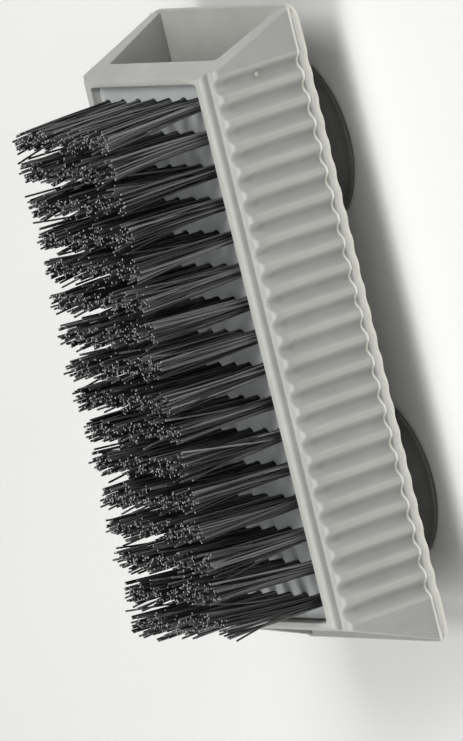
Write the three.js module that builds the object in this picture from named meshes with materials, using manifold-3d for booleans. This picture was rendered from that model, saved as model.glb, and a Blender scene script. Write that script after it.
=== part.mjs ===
// A nail brush for the basin: a grey moulded body with fluted sides, a raised rim round a field of
// black bristles, and two rubber suction cups on its back. It stands on the cups with the bristles up.
// Millimetres, +Z up, X along the brush, origin on the standing surface below the middle of the body.
import * as THREE from 'three';
import { mergeVertices } from 'three/addons/utils/BufferGeometryUtils.js';
import Module from 'manifold-3d';

// Bristle field
const ROW_COUNT = 16;
const ROW_PITCH = 5.0;
const COLUMN_COUNT = 7;
const COLUMN_PITCH = 4.22;
const BRISTLE_LENGTH = 17.2;      // from the face of the plate to the tips
const STRAND_WIDTH = 0.8;         // one strand stands for a bunch of filaments
const STRAND_GAP = 0.25;          // between the strands of one tuft
const TUFT_FAN = 0.9;             // how far the strands of a tuft spread apart at the tips
const EDGE_LEAN = 1.1;            // how far tufts at the edge of the field lean in

// Bristle plate
const PLATE_END_MARGIN = 3.0;     // outer row to the end of the plate
const PLATE_SIDE_MARGIN = 1.74;   // outer column to the side of the plate
const PLATE_THICKNESS = 1.0;
const SLICE_COUNT = 4;            // the tufted face of the plate is made in slices
const SLICE_THICKNESS = 1.0;
const SLICE_GAP = 0.2;
const POCKET_CLEARANCE = 0.2;     // plate to pocket wall
const GLUE_LINE = 0.05;

// Body shell
const RIM_WIDTH = 1.5;
const RIM_END_WIDTH = 0.9;
const RIM_HEIGHT = 1.25;          // above the ledge outside it
const RIM_ROUND = 0.6;
const RECESS_DEPTH = 1.3;         // rim top to the face of the plate
const LEDGE_WIDTH = 1.7;          // rim to the bottom of the flutes
const FLUTE_PITCH = 3.61;
const FLUTE_WIDTH = 2.6;          // the rest of the pitch is a flat ridge
const FLUTE_DEPTH = 1.1;
const WALL_BEHIND_FLUTES = 1.2;   // at the back, where the wall is thinnest
const POCKET_FLOOR = 0.9;
const CAVITY_HEIGHT = 11.6;
const CAVITY_DRAFT = 1.6;         // how far each side wall leans in from the back to the roof
const CAVITY_FILLET = 0.8;
const END_RUN = 6.7;              // how far each sloped end runs out towards the back
const END_ROUND = 0.6;

// Back plate
const BACK_THICKNESS = 1.0;
const BACK_OVERHANG = 0.8;        // beyond the ridges between the flutes
const BACK_CORNER = 2.5;
const BACK_WAVE = 0.3;            // faint flutes along its edge
const WELD_SEAM = 0.05;
const LOCATOR_WIDTH = 1.2;        // ribs that centre the shell on the plate
const LOCATOR_HEIGHT = 1.2;
const LOCATOR_SETBACK = 12.0;
const LOCATOR_CLEARANCE = 0.35;

// Suction cups
const CUP_RADIUS = 13.7;
const CUP_GAP = 24.6;             // between the two rims
const CUP_STANDOFF = 7.3;         // standing surface to the back plate
const CUP_HOLLOW = 3.4;
const CUP_LIP_WIDTH = 1.0;
const CUP_LIP_THICKNESS = 0.7;
const CUP_SKIRT_THICKNESS = 1.9;  // where the skirt meets the hub
const CUP_HUB_RADIUS = 4.6;
const CUP_NECK_RADIUS = 3.0;
const CUP_HEAD_RADIUS = 4.4;
const CUP_HEAD_HEIGHT = 3.0;
const CUP_HEAD_TIP_RADIUS = 2.4;
const SWIVEL_CLEARANCE = 0.2;     // neck, hub and head to the back plate

// Facets
const FLUTE_STEPS = 6;
const CORNER_STEPS = 5;
const ROUND_SIDES = 48;
const SKIRT_STEPS = 8;

// Heights, from the standing surface up
const backBottom = CUP_STANDOFF;
const backTop = backBottom + BACK_THICKNESS;
const shellBottom = backTop + WELD_SEAM;
const cavityRoof = backTop + CAVITY_HEIGHT;
const pocketFloor = cavityRoof + POCKET_FLOOR;
const plateBottom = pocketFloor + GLUE_LINE;
const plateTop = plateBottom + PLATE_THICKNESS;
const sliceBottom = plateTop + GLUE_LINE;
const sliceTop = sliceBottom + SLICE_THICKNESS;
const rimTop = sliceTop + RECESS_DEPTH;
const ledge = rimTop - RIM_HEIGHT;

// Half lengths and half widths, from the bristle field outwards
const plateHalfLength = ((ROW_COUNT - 1) * ROW_PITCH) / 2 + PLATE_END_MARGIN;
const plateHalfWidth = ((COLUMN_COUNT - 1) * COLUMN_PITCH) / 2 + PLATE_SIDE_MARGIN;
const pocketHalfLength = plateHalfLength + POCKET_CLEARANCE;
const pocketHalfWidth = plateHalfWidth + POCKET_CLEARANCE;
const rimHalfLength = pocketHalfLength + RIM_END_WIDTH;
const rimHalfWidth = pocketHalfWidth + RIM_WIDTH;
const bodyHalfLength = rimHalfLength + END_RUN;
const bodyHalfWidth = rimHalfWidth + LEDGE_WIDTH + FLUTE_DEPTH;
const cavityHalfWidth = bodyHalfWidth - FLUTE_DEPTH - WALL_BEHIND_FLUTES;
const cupCentre = CUP_RADIUS + CUP_GAP / 2;
const cupHoleRadius = CUP_NECK_RADIUS + SWIVEL_CLEARANCE;
const fluteCount = Math.floor((2 * rimHalfLength) / FLUTE_PITCH);
const fluteWidth = Math.min(FLUTE_WIDTH, 0.95 * FLUTE_PITCH);

const PAST_FACE = 1;              // how far a cutting shape runs past the face it cuts
const wasm = await Module();
wasm.setup();

// A closed geometry as a solid that can be joined and cut.
function solidOf(geometry) {
  const bare = geometry.index ? geometry.toNonIndexed() : geometry.clone();
  bare.deleteAttribute('normal');
  bare.deleteAttribute('uv');
  const merged = mergeVertices(bare);
  return new wasm.Manifold(new wasm.Mesh({
    numProp: 3,
    vertProperties: merged.attributes.position.array,
    triVerts: new Uint32Array(merged.index.array),
  }));
}

// A solid as a geometry again.
function geometryOf(solid) {
  const { vertProperties, triVerts } = solid.getMesh();
  const geometry = new THREE.BufferGeometry();
  geometry.setAttribute('position', new THREE.BufferAttribute(vertProperties, 3));
  geometry.setIndex(new THREE.BufferAttribute(triVerts, 1));
  geometry.computeVertexNormals();
  return geometry;
}

function block(low, high) {
  const size = new THREE.Vector3().subVectors(high, low);
  const middle = new THREE.Vector3().addVectors(low, high).multiplyScalar(0.5);
  return new THREE.BoxGeometry(size.x, size.y, size.z).translate(middle.x, middle.y, middle.z);
}

// A plan outline, drawn in X and Y, raised from one height to another.
function raise(outline, bottom, top) {
  const settings = { depth: top - bottom, bevelEnabled: false, curveSegments: ROUND_SIDES / 2 };
  return new THREE.ExtrudeGeometry(outline, settings).translate(0, 0, bottom);
}

// A cross-section, drawn in Y and Z, run along X for a half length to each side.
function runAlongX(section, halfLength) {
  const settings = { depth: 2 * halfLength, bevelEnabled: false, curveSegments: CORNER_STEPS };
  const turn = new THREE.Matrix4().makeBasis(
    new THREE.Vector3(0, 1, 0),
    new THREE.Vector3(0, 0, 1),
    new THREE.Vector3(1, 0, 0),
  );
  return new THREE.ExtrudeGeometry(section, settings).applyMatrix4(turn).translate(-halfLength, 0, 0);
}

// A side profile, drawn in X and Z, run along Y for a half width to each side.
function runAlongY(profile, halfWidth) {
  const settings = { depth: 2 * halfWidth, bevelEnabled: false, curveSegments: CORNER_STEPS };
  return new THREE.ExtrudeGeometry(profile, settings).rotateX(Math.PI / 2).translate(0, halfWidth, 0);
}

// Plan outline with hollow flutes along both sides and rounded or square corners.
function flutedOutline(halfLength, halfWidth, depth, corner) {
  const side = [];
  const addCorner = (x, startAngle) => {
    for (let step = 0; step <= CORNER_STEPS; step += 1) {
      const angle = startAngle + ((Math.PI / 2) * step) / CORNER_STEPS;
      const y = -halfWidth + corner;
      side.push(new THREE.Vector2(x + corner * Math.cos(angle), y + corner * Math.sin(angle)));
    }
  };
  if (corner > 0) addCorner(-halfLength + corner, Math.PI);
  else side.push(new THREE.Vector2(-halfLength, -halfWidth));
  for (let flute = 0; flute < fluteCount; flute += 1) {
    const middle = (flute - (fluteCount - 1) / 2) * FLUTE_PITCH;
    for (let step = 0; step <= FLUTE_STEPS; step += 1) {
      const across = (2 * step) / FLUTE_STEPS - 1;
      const x = middle + (across * fluteWidth) / 2;
      side.push(new THREE.Vector2(x, -halfWidth + depth * (1 - across * across)));
    }
  }
  if (corner > 0) addCorner(halfLength - corner, 1.5 * Math.PI);
  else side.push(new THREE.Vector2(halfLength, -halfWidth));
  const otherSide = side.map((point) => point.clone().negate());
  return new THREE.Shape([...side, ...otherSide]);
}

// The shell: a channel, open at both ends and at the back, with a pocket for the bristle plate.
function bodyShell() {
  const walls = raise(flutedOutline(bodyHalfLength, bodyHalfWidth, FLUTE_DEPTH, 0), shellBottom, ledge);

  const rimRound = Math.min(RIM_ROUND, RIM_WIDTH, RIM_HEIGHT);
  const rim = new THREE.Shape();
  rim.moveTo(-rimHalfWidth, cavityRoof);
  rim.lineTo(rimHalfWidth, cavityRoof);
  rim.lineTo(rimHalfWidth, rimTop - rimRound);
  rim.quadraticCurveTo(rimHalfWidth, rimTop, rimHalfWidth - rimRound, rimTop);
  rim.lineTo(-rimHalfWidth + rimRound, rimTop);
  rim.quadraticCurveTo(-rimHalfWidth, rimTop, -rimHalfWidth, rimTop - rimRound);

  const lean = CAVITY_DRAFT / (cavityRoof - shellBottom);
  const cavityHalfAt = (height) => cavityHalfWidth - lean * (height - shellBottom);
  const cavityBottom = shellBottom - PAST_FACE;
  const filletFoot = cavityRoof - CAVITY_FILLET;
  const roofHalf = cavityHalfAt(cavityRoof);
  const cavity = new THREE.Shape();
  cavity.moveTo(-cavityHalfAt(cavityBottom), cavityBottom);
  cavity.lineTo(cavityHalfAt(cavityBottom), cavityBottom);
  cavity.lineTo(cavityHalfAt(filletFoot), filletFoot);
  cavity.quadraticCurveTo(roofHalf, cavityRoof, roofHalf - CAVITY_FILLET, cavityRoof);
  cavity.lineTo(-roofHalf + CAVITY_FILLET, cavityRoof);
  cavity.quadraticCurveTo(-roofHalf, cavityRoof, -cavityHalfAt(filletFoot), filletFoot);

  const pocket = block(
    new THREE.Vector3(-pocketHalfLength, -pocketHalfWidth, pocketFloor),
    new THREE.Vector3(pocketHalfLength, pocketHalfWidth, rimTop + PAST_FACE),
  );

  // Both ends slope from the rim out to the back plate, with a soft edge at the rim.
  const endRound = Math.min(END_ROUND, RIM_END_WIDTH);
  const slope = END_RUN / (rimTop - backBottom);
  const ends = new THREE.Shape();
  ends.moveTo(-bodyHalfLength, backBottom);
  ends.lineTo(bodyHalfLength, backBottom);
  ends.lineTo(rimHalfLength + slope * endRound, rimTop - endRound);
  ends.quadraticCurveTo(rimHalfLength, rimTop, rimHalfLength - endRound, rimTop);
  ends.lineTo(-rimHalfLength + endRound, rimTop);
  ends.quadraticCurveTo(-rimHalfLength, rimTop, -rimHalfLength - slope * endRound, rimTop - endRound);

  const past = bodyHalfLength + PAST_FACE;
  const whole = solidOf(walls).add(solidOf(runAlongX(rim, bodyHalfLength)));
  const hollowed = whole.subtract(solidOf(runAlongX(cavity, past))).subtract(solidOf(pocket));
  return geometryOf(hollowed.intersect(solidOf(runAlongY(ends, bodyHalfWidth + PAST_FACE))));
}

// The back plate: a thin flanged plate with two locating ribs inside and a hole for each cup.
function backPlate() {
  const corner = Math.min(BACK_CORNER, END_RUN);
  const outline = flutedOutline(bodyHalfLength, bodyHalfWidth + BACK_OVERHANG, BACK_WAVE, corner);
  for (const x of [-cupCentre, cupCentre]) {
    outline.holes.push(new THREE.Path().absarc(x, 0, cupHoleRadius, 0, 2 * Math.PI, true));
  }
  let plate = solidOf(raise(outline, backBottom, backTop));
  const outer = cavityHalfWidth - LOCATOR_CLEARANCE;
  const halfLength = bodyHalfLength - LOCATOR_SETBACK;
  const foot = backBottom + BACK_THICKNESS / 2;
  for (const inner of [-outer, outer - LOCATOR_WIDTH]) {
    const rib = block(
      new THREE.Vector3(-halfLength, inner, foot),
      new THREE.Vector3(halfLength, inner + LOCATOR_WIDTH, backTop + LOCATOR_HEIGHT),
    );
    plate = plate.add(solidOf(rib));
  }
  return geometryOf(plate);
}

function bristlePlate() {
  return block(
    new THREE.Vector3(-plateHalfLength, -plateHalfWidth, plateBottom),
    new THREE.Vector3(plateHalfLength, plateHalfWidth, plateTop),
  );
}

// One straight strand with three sides, rooted in the slice. It leans out from the middle of its tuft, and
// the tufts near the edge lean in towards the middle of the field.
function strand(x, y, sideX, sideY) {
  const root = sliceBottom + SLICE_THICKNESS / 2;
  const tip = sliceTop + BRISTLE_LENGTH;
  const height = tip - root;
  const alongField = x / plateHalfLength;
  const acrossField = y / plateHalfWidth;
  const leanX = (TUFT_FAN * sideX - EDGE_LEAN * alongField * Math.abs(alongField)) / height;
  const leanY = (TUFT_FAN * sideY - EDGE_LEAN * acrossField * Math.abs(acrossField)) / height;
  const lean = new THREE.Matrix4().set(1, 0, leanX, 0, 0, 1, leanY, 0, 0, 0, 1, 0, 0, 0, 0, 1);
  const stick = new THREE.CylinderGeometry(STRAND_WIDTH / 2, STRAND_WIDTH / 2, height, 3);
  return stick.rotateX(Math.PI / 2).translate(0, 0, height / 2).applyMatrix4(lean).translate(x, y, root);
}

// A slice of the tufted face with its rows of tufts, four strands to a tuft.
function bristleSlice(firstRow, lastRow) {
  const rowAt = (row) => (row - (ROW_COUNT - 1) / 2) * ROW_PITCH;
  const startsField = firstRow === 0;
  const endsField = lastRow === ROW_COUNT - 1;
  const low = startsField ? -plateHalfLength : rowAt(firstRow) - ROW_PITCH / 2 + SLICE_GAP / 2;
  const high = endsField ? plateHalfLength : rowAt(lastRow) + ROW_PITCH / 2 - SLICE_GAP / 2;
  let slice = solidOf(block(
    new THREE.Vector3(low, -plateHalfWidth, sliceBottom),
    new THREE.Vector3(high, plateHalfWidth, sliceTop),
  ));
  const offset = (STRAND_WIDTH + STRAND_GAP) / 2;
  for (let row = firstRow; row <= lastRow; row += 1) {
    for (let column = 0; column < COLUMN_COUNT; column += 1) {
      const y = (column - (COLUMN_COUNT - 1) / 2) * COLUMN_PITCH;
      for (const [sideX, sideY] of [[-1, -1], [1, -1], [-1, 1], [1, 1]]) {
        const bunch = strand(rowAt(row) + sideX * offset, y + sideY * offset, sideX, sideY);
        slice = slice.add(solidOf(bunch));
      }
    }
  }
  return geometryOf(slice);
}

// A suction cup: a thin hollow skirt, a hub under the back plate, a neck through it and a head inside.
function suctionCup() {
  const hollowRadius = CUP_RADIUS - CUP_LIP_WIDTH;
  const hubTop = backBottom - SWIVEL_CLEARANCE;
  const headBottom = backTop + SWIVEL_CLEARANCE;
  const headTop = headBottom + CUP_HEAD_HEIGHT;
  const underside = (radius) => CUP_HOLLOW * (1 - (radius / hollowRadius) ** 2);
  const profile = [];
  const add = (radius, height) => profile.push(new THREE.Vector2(radius, height));
  for (let step = 0; step <= SKIRT_STEPS; step += 1) {
    const radius = (hollowRadius * step) / SKIRT_STEPS;
    add(radius, underside(radius));
  }
  add(CUP_RADIUS, 0);
  add(CUP_RADIUS, CUP_LIP_THICKNESS);
  for (let step = 0; step <= SKIRT_STEPS; step += 1) {
    const share = step / SKIRT_STEPS;
    const radius = hollowRadius + (CUP_HUB_RADIUS - hollowRadius) * share;
    const thickness = CUP_LIP_THICKNESS + (CUP_SKIRT_THICKNESS - CUP_LIP_THICKNESS) * share;
    add(radius, underside(radius) + thickness);
  }
  add(CUP_HUB_RADIUS, hubTop);
  add(CUP_NECK_RADIUS, hubTop);
  add(CUP_NECK_RADIUS, headBottom);
  add(CUP_HEAD_RADIUS, headBottom);
  add(CUP_HEAD_TIP_RADIUS, headTop);
  add(0, headTop);
  return new THREE.LatheGeometry(profile, ROUND_SIDES).rotateX(Math.PI / 2);
}

const greyPlastic = new THREE.MeshStandardMaterial({ color: '#9b9c98', roughness: 0.5, metalness: 0 });
const platePlastic = new THREE.MeshStandardMaterial({ color: '#8f9695', roughness: 0.5, metalness: 0 });
const blackNylon = new THREE.MeshStandardMaterial({ color: '#262626', roughness: 0.4, metalness: 0 });
const blackRubber = new THREE.MeshStandardMaterial({ color: '#3a3a3a', roughness: 0.7, metalness: 0 });

const nailBrush = new THREE.Group();

function addPiece(name, geometry, material) {
  const piece = new THREE.Mesh(geometry, material);
  piece.name = name;
  nailBrush.add(piece);
  return piece;
}

addPiece('body_shell', bodyShell(), greyPlastic);
addPiece('back_plate', backPlate(), greyPlastic);
addPiece('bristle_plate', bristlePlate(), platePlastic);

const rowsPerSlice = Math.ceil(ROW_COUNT / SLICE_COUNT);
for (let firstRow = 0; firstRow < ROW_COUNT; firstRow += rowsPerSlice) {
  const lastRow = Math.min(firstRow + rowsPerSlice, ROW_COUNT) - 1;
  const number = firstRow / rowsPerSlice + 1;
  addPiece(`bristles_${number}`, bristleSlice(firstRow, lastRow), blackNylon);
}

addPiece('suction_cup_a', suctionCup(), blackRubber).position.x = cupCentre;
addPiece('suction_cup_b', suctionCup(), blackRubber).position.x = -cupCentre;

export default nailBrush;
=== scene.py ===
import math

import bmesh
import bpy
from mathutils import Matrix, Vector


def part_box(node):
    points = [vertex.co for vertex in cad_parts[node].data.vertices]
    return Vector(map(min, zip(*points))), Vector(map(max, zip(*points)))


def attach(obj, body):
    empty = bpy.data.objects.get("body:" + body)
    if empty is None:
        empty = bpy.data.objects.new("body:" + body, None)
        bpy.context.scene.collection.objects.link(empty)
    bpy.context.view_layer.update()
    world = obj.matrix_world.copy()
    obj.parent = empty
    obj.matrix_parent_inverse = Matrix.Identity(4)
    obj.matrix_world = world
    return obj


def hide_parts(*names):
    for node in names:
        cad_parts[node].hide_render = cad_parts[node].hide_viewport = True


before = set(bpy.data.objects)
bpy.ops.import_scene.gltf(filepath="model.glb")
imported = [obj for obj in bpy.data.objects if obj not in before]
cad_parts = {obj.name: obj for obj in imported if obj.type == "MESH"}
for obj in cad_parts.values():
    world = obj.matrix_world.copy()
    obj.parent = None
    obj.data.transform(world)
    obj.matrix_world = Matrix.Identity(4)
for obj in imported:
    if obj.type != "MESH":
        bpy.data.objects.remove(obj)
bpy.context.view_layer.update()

# Body shell
# One injection moulding in grey polypropylene: a channel drawn straight off its core, so its back and both
# ends are open. Hollow flutes, scooped deeper at their upper ends, give wet fingers a grip, and a raised
# rim frames the bristles.
MM = 0.001
shell_low, shell_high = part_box("body_shell")
plate_low, plate_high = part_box("bristle_plate")
back_low, back_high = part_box("back_plate")

FLUTE_PITCH = 3.61 * MM
FLUTE_COUNT = 23
FLUTE_WIDTH = 2.6 * MM
FLUTE_DEPTH = 1.1 * MM
FLUTE_STEPS = 24
RIDGE_ROUND = 0.2  # how soft the crests are, as a share of the flute's bowl
SCOOP_WIDTH = 2.2 * MM
SCOOP_DEPTH = 0.3 * MM
SCOOP_LENGTH = 2.8 * MM
SCOOP_RUNOUT = 1.0 * MM
LEDGE_ROUND = 0.8 * MM
LEDGE_HOLD = 0.38  # share of a flute's depth that the inner end of the ledge's round edge doesn't take
WALL_DRAFT = 0.35 * MM
WALL_BEHIND_FLUTES = 1.2 * MM
RIM_HEIGHT = 1.35 * MM
RIM_ROUND = 0.7 * MM
RIM_FOOT = 0.15 * MM
RIM_TO_RIDGE = 2.5 * MM
RIM_END_WIDTH = 0.9 * MM
PLATE_CLEARANCE = 0.2 * MM
GLUE_LINE = 0.05 * MM
POCKET_FLOOR = 0.9 * MM
POCKET_CORNER = 0.6 * MM
POCKET_LIP = 0.15 * MM
POCKET_DRAFT = 0.05 * MM
CAVITY_DRAFT = 1.6 * MM
CAVITY_FILLET = 0.8 * MM
WELD_LIP = 0.15 * MM
WELD_LIP_REACH = 0.2 * MM
WELD_INSET = 0.3 * MM
WELD_SINK = 0.1 * MM
END_ROUND = 0.5 * MM
END_LIP = 0.3 * MM

half_width = shell_high.y
shell_bottom = shell_low.z - WELD_SINK
rim_top = shell_high.z
ledge = rim_top - RIM_HEIGHT
scoop_foot = ledge - SCOOP_LENGTH
rim_half_width = half_width - RIM_TO_RIDGE
pocket_half_width = plate_high.y + PLATE_CLEARANCE
pocket_half_length = plate_high.x + PLATE_CLEARANCE
pocket_floor = plate_low.z - GLUE_LINE
cavity_roof = pocket_floor - POCKET_FLOOR
cavity_half_width = half_width - FLUTE_DEPTH - WALL_BEHIND_FLUTES
roof_half_width = cavity_half_width - CAVITY_DRAFT
rim_half_length = pocket_half_length + RIM_END_WIDTH
end_slope = (back_high.x - rim_half_length) / (rim_top - back_low.z)
end_top = rim_top - END_ROUND
flute_end = FLUTE_PITCH * FLUTE_COUNT / 2


def arc(centre, radius, start, end, steps=4):
    """Points of a round edge in the section, from one angle to another, in degrees."""
    points = []
    for step in range(steps + 1):
        angle = math.radians(start + (end - start) * step / steps)
        points.append((centre[0] + radius * math.cos(angle), centre[1] + radius * math.sin(angle)))
    return points


def place_in_scene(name, data):
    """An object in the scene for a mesh, a lamp or a camera."""
    thing = bpy.data.objects.new(name, data)
    bpy.context.scene.collection.objects.link(thing)
    return thing


def stack_rings(name, rings, **weights):
    """A closed mesh skinned over rings with equal counts of points, with named weights on the points."""
    shape = bmesh.new()
    for label in weights:
        shape.verts.layers.float.new(label)
    loops = [[shape.verts.new(point) for point in ring] for ring in rings]
    for label, rows in weights.items():
        layer = shape.verts.layers.float[label]
        for loop, row in zip(loops, rows):
            for corner, weight in zip(loop, row):
                corner[layer] = weight
    for here, there in zip(loops, loops[1:]):
        for index in range(len(here)):
            after = (index + 1) % len(here)
            shape.faces.new((here[index], here[after], there[after], there[index]))
    shape.faces.new(loops[0][::-1])
    shape.faces.new(loops[-1])
    bmesh.ops.recalc_face_normals(shape, faces=shape.faces)
    for face in shape.faces:
        face.smooth = True
    mesh = bpy.data.meshes.new(name)
    shape.to_mesh(mesh)
    shape.free()
    return place_in_scene(name, mesh)


def rim_end_height(x):
    """Height of the rim's top where it rounds over into the sloped end."""
    past = abs(x) - (rim_half_length - END_ROUND)
    if past <= 0:
        return rim_top
    bend = END_ROUND * (1 - end_slope)
    along = (2 * END_ROUND - math.sqrt(max(0.0, 4 * END_ROUND**2 - 4 * bend * past))) / (2 * bend)
    return rim_top - END_ROUND * min(1.0, along) ** 2


def end_face_x(z):
    """How far out the sloped end face is at one height."""
    return back_high.x - end_slope * (min(z, end_top) - back_low.z)


def pocket_edge_height(x):
    """Height of the pocket's rounded edge beyond the end of the pocket."""
    inwards = pocket_half_length + POCKET_LIP - abs(x)
    if inwards <= 0:
        return rim_top
    return rim_top - POCKET_LIP + math.sqrt(max(0.0, POCKET_LIP**2 - inwards**2))


def pocket_corner_shift(x):
    """How far the round corners of the pocket draw its side walls in."""
    past = min(max(abs(x) - pocket_half_length + POCKET_CORNER, 0.0), POCKET_CORNER)
    return POCKET_CORNER - math.sqrt(POCKET_CORNER**2 - past**2)


def ridge_y(z):
    """How far out the crests of the ridges are at one height of the drafted side wall."""
    return half_width - WALL_DRAFT * (z - shell_bottom) / (ledge - shell_bottom)


# Half of the section: down the inside from the middle of the roof, round the weld bead, up the outside, and
# over the ledge and the rim to the middle of the pocket's floor.
fillet = CAVITY_FILLET
inner_wall = [(0.0, cavity_roof), (roof_half_width / 2, cavity_roof)]
inner_wall += arc((roof_half_width - fillet, cavity_roof - fillet), fillet, 90, 8)
inner_wall += [(cavity_half_width, shell_bottom), ((cavity_half_width + half_width) / 2, shell_bottom)]
weld_top = shell_bottom + 2 * WELD_LIP
lip_y = half_width + WELD_LIP_REACH
outer_wall = [(half_width - WELD_INSET, shell_bottom)]
outer_wall += arc((lip_y, weld_top - WELD_LIP), WELD_LIP, 270, 450, 6)
outer_wall += arc((lip_y, weld_top + WELD_LIP_REACH), WELD_LIP_REACH, 255, 180, 3)
wall_heights = [(shell_bottom + ledge) / 2]
wall_heights += [scoop_foot + SCOOP_RUNOUT * step / 5 for step in range(6)]
outer_wall += [(ridge_y(z), z) for z in wall_heights]
ledge_edge = arc((ridge_y(ledge) - LEDGE_ROUND, ledge - LEDGE_ROUND), LEDGE_ROUND, 0, 90, 8)
outer_wall += ledge_edge
rim = arc((rim_half_width + RIM_FOOT, ledge + RIM_FOOT), RIM_FOOT, 270, 180)
rim += arc((rim_half_width - RIM_ROUND, rim_top - RIM_ROUND), RIM_ROUND, 0, 90, 8)
pocket = arc((pocket_half_width + POCKET_LIP, rim_top - POCKET_LIP), POCKET_LIP, 90, 180)
wall_foot = pocket_half_width - POCKET_DRAFT
pocket += [(wall_foot, pocket_floor), (wall_foot / 2, pocket_floor), (0.0, pocket_floor)]
half_section = inner_wall + outer_wall + rim + pocket
first_pocket_point = len(half_section) - len(pocket)

# Weights of its points: how far each one takes the flutes, and where the rim and the ledge's edge are
# painted pale as painted light.
half_fluted = [0.0] * len(inner_wall) + [1.0] * (len(outer_wall) - len(ledge_edge))
half_fluted += [1.0 - LEDGE_HOLD * (ledge_edge[0][0] - y) / LEDGE_ROUND for y, _ in ledge_edge]
half_fluted += [0.0] * len(rim + pocket)
half_rim = [0.0] * (len(inner_wall) + len(outer_wall)) + [1.0] * len(rim + pocket)
half_lip = [1.0 if point in ledge_edge[3:-1] else 0.0 for point in half_section]


def shell_ring(x, inside_pocket, end_share=0.0):
    """The section at one place along the brush; end_share runs to 1 on the sloped end itself."""
    half_ring = []
    for index, (y, z) in enumerate(half_section):
        if index >= first_pocket_point:
            if y > 0.0:
                y -= pocket_corner_shift(x) * min(1.0, y / wall_foot)
            if not inside_pocket:
                z = max(z, pocket_edge_height(x))
        place = abs(x) + (end_face_x(z) - abs(x)) * end_share
        half_ring.append((math.copysign(place, x), y, min(z, rim_end_height(place))))
    return half_ring + [(px, -py, pz) for px, py, pz in half_ring[-2:0:-1]]


def end_ring(x, turn):
    """The section on a sloped end, drawn back and drawn in to make a soft edge round the end's face."""
    outline = [Vector((y, z)) for _, y, z in shell_ring(x, False, 1.0)]
    ring = []
    for index, point in enumerate(outline):
        run = (outline[(index + 1) % len(outline)] - outline[index - 1]).normalized()
        under_ledge = min(max((ledge - point.y) / (2 * END_LIP), 0.0), 1.0)
        over_seam = min(max((point.y - weld_top) / END_LIP, 0.0), 1.0)
        lip = END_LIP * under_ledge * over_seam
        inset = lip * (1 - math.cos(math.radians(turn)))
        drawn_back = lip * (1 - math.sin(math.radians(turn)))
        z = point.y + inset * run.x
        ring.append((math.copysign(end_face_x(z) - drawn_back, x), point.x - inset * run.y, z))
    return ring


# Places along half the brush, closest where the flutes, the pocket's corner and its lip need them.
stations = []
flute_step = FLUTE_PITCH / FLUTE_STEPS
plain_length = pocket_half_length - POCKET_CORNER
for index in range(int(plain_length / flute_step) + 1):
    stations.append((index * flute_step, True, 0.0))
for angle in range(15, 91, 15):
    stations.append((plain_length + POCKET_CORNER * math.sin(math.radians(angle)), True, 0.0))
for angle in (8, 30, 60, 90):
    lip_run = POCKET_LIP * (1 - math.cos(math.radians(angle)))
    stations.append((pocket_half_length + lip_run, False, 0.0))
last_flute_x = flute_end + flute_step / 2
lip_end = pocket_half_length + POCKET_LIP
for step in range(1, 9):
    stations.append((lip_end + (last_flute_x - lip_end) * step / 8, False, 0.0))
for share in (0.3, 0.6):
    stations.append((last_flute_x, False, share))
half_shell = [shell_ring(*station) for station in stations]
half_shell += [end_ring(last_flute_x, turn) for turn in (0, 30, 60, 90)]
other_half = [[(-x, y, z) for x, y, z in ring] for ring in half_shell[:0:-1]]
shell_rings = other_half + half_shell
shell = stack_rings(
    "body_shell_moulding", shell_rings,
    fluted=[half_fluted + half_fluted[-2:0:-1]] * len(shell_rings),
    rim=[half_rim + half_rim[-2:0:-1]] * len(shell_rings),
    lip=[half_lip + half_lip[-2:0:-1]] * len(shell_rings),
)


def join_into(piece, detail):
    """Makes a moulded-on detail part of a piece's own mesh."""
    shape = bmesh.new()
    shape.from_mesh(piece.data)
    shape.from_mesh(detail.data)
    shape.to_mesh(piece.data)
    shape.free()
    bpy.data.objects.remove(detail)


MARK_SIDES = 16
TORN_FROM, TORN_TO = 0.15, 0.5  # radii of a mark's torn part, in millimetres


def moulding_mark(centre, facing, profile, fluted=0.0, torn_side=(0.0, 0.0, 0.0)):
    """A small round mark that the mould leaves on a face, turned from radii and heights in millimetres.

    It takes the flutes by the weight that fluted gives, and its torn part is painted pale on the side that
    faces the given direction, as a painted highlight.
    """
    facing = Vector(facing)
    across = facing.orthogonal().normalized()
    beside = facing.cross(across)
    turns = [math.tau * side / MARK_SIDES for side in range(MARK_SIDES)]
    spokes = [across * math.cos(turn) + beside * math.sin(turn) for turn in turns]
    rings = []
    for radius, height in profile:
        rings.append([Vector(centre) + (facing * height + spoke * radius) * MM for spoke in spokes])
    # Painted highlight: only the torn part's side towards the given direction is pale.
    torn = [max(0.0, spoke.dot(Vector(torn_side))) for spoke in spokes]
    untorn = [0.0] * MARK_SIDES
    torn_rows = [torn if TORN_FROM < radius < TORN_TO else untorn for radius, _ in profile]
    fluted_rows = [[fluted] * MARK_SIDES] * len(rings)
    return stack_rings("moulding_mark", rings, fluted=fluted_rows, torn=torn_rows)


# The gate, where the plastic entered the mould, left a ring and a snapped stub in the last flute. The
# stub's torn part is painted pale only on the side that faces up, as a painted highlight.
GATE_HEIGHT = 15.4 * MM
GATE_SHIFT = 0.25 * MM
GATE_LIT_SIDE = (-0.45, 0.0, 0.9)
GATE_PROFILE = (
    (0.85, -0.15), (0.8, 0.04), (0.72, 0.07), (0.62, 0.01), (0.52, 0.0),
    (0.46, 0.05), (0.4, 0.25), (0.32, 0.42), (0.22, 0.48), (0.12, 0.44), (0.05, 0.28),
)
last_flute_middle = FLUTE_PITCH * (FLUTE_COUNT - 1) / 2
gate_place = (last_flute_middle + GATE_SHIFT, -ridge_y(GATE_HEIGHT), GATE_HEIGHT)
join_into(shell, moulding_mark(gate_place, (0.0, -1.0, 0.0), GATE_PROFILE, 1.0, GATE_LIT_SIDE))


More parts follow.
